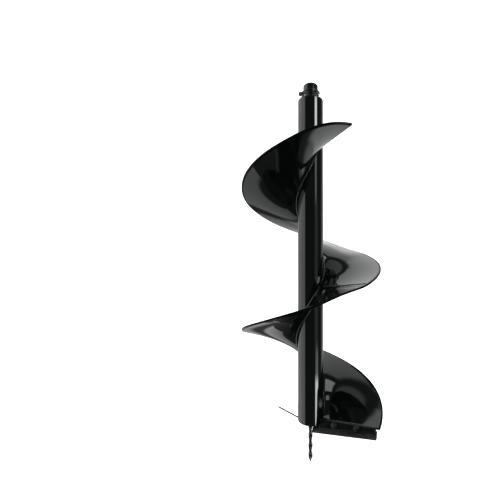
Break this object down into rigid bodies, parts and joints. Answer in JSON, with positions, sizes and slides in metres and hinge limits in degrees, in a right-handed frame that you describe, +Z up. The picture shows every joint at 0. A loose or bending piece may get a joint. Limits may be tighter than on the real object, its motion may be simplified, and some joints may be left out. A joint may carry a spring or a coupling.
{
  "type": "soil auger",
  "caption": "Wide helical earth auger bit on a tubular shaft, with a drive socket, lock pin and bail, a bolted cutting blade and a twisted pilot point.",
  "frame": {"origin": "centre of the drive socket's mouth, on the auger's axis", "axes": "+Z up the shaft towards the power drive, +X towards the tail of the lock pin, +Y towards the back of the pictured view; right-handed"},
  "size_m": [0.3045, 0.2999, 0.83],
  "materials": {
    "black_enamel": "gloss black enamel over steel, smooth and clear in its reflections",
    "weld_enamel": "gloss black enamel over rippled weld metal",
    "blade_steel": "black paint on hardened steel, thinner and rougher at the ground edge",
    "bolt_steel": "black oxide on bolts, nuts and washers, half gloss",
    "bare_steel": "turned steel, oiled",
    "zinc_steel": "dark zinc-plated steel, half gloss"
  },
  "bodies": {
    "auger": {"shaft_tube": "black_enamel", "drive_socket": "black_enamel", "shoulder_cone": "black_enamel", "neck_weld": "weld_enamel", "centring_ring": "bare_steel", "end_plug": "black_enamel", "pilot_collar": "black_enamel", "pilot_point": "blade_steel", "flight_upper": "black_enamel", "flight_lower": "black_enamel", "root_weld_upper": "weld_enamel", "root_weld_lower": "weld_enamel", "flight_seam_weld": "weld_enamel", "blade_holder": "black_enamel", "main_blade": "blade_steel", "blade_bolt_1": "bolt_steel", "blade_bolt_2": "bolt_steel", "blade_washer_1": "bolt_steel", "blade_washer_2": "bolt_steel", "blade_nut_1": "bolt_steel", "blade_nut_2": "bolt_steel", "short_blade": "blade_steel"},
    "lock_pin": {"lock_pin": "zinc_steel"},
    "lock_bail": {"lock_bail": "zinc_steel"}
  },
  "joints": [
    {"name": "lock_pin_slide", "type": "slide", "parent": "auger", "child": "lock_pin", "axis": [-1, 0, 0], "range_m": [0, 0.04]},
    {"name": "lock_bail_swing", "type": "hinge", "parent": "lock_pin", "child": "lock_bail", "pos_m": [-0.0225, 0, -0.016], "axis": [0, 0, -1], "range_deg": [0, 132]}
  ],
  "couplings": [
    {"joint": "lock_bail_swing", "follows": "lock_pin_slide", "rad_per_m": 57.3}
  ]
}
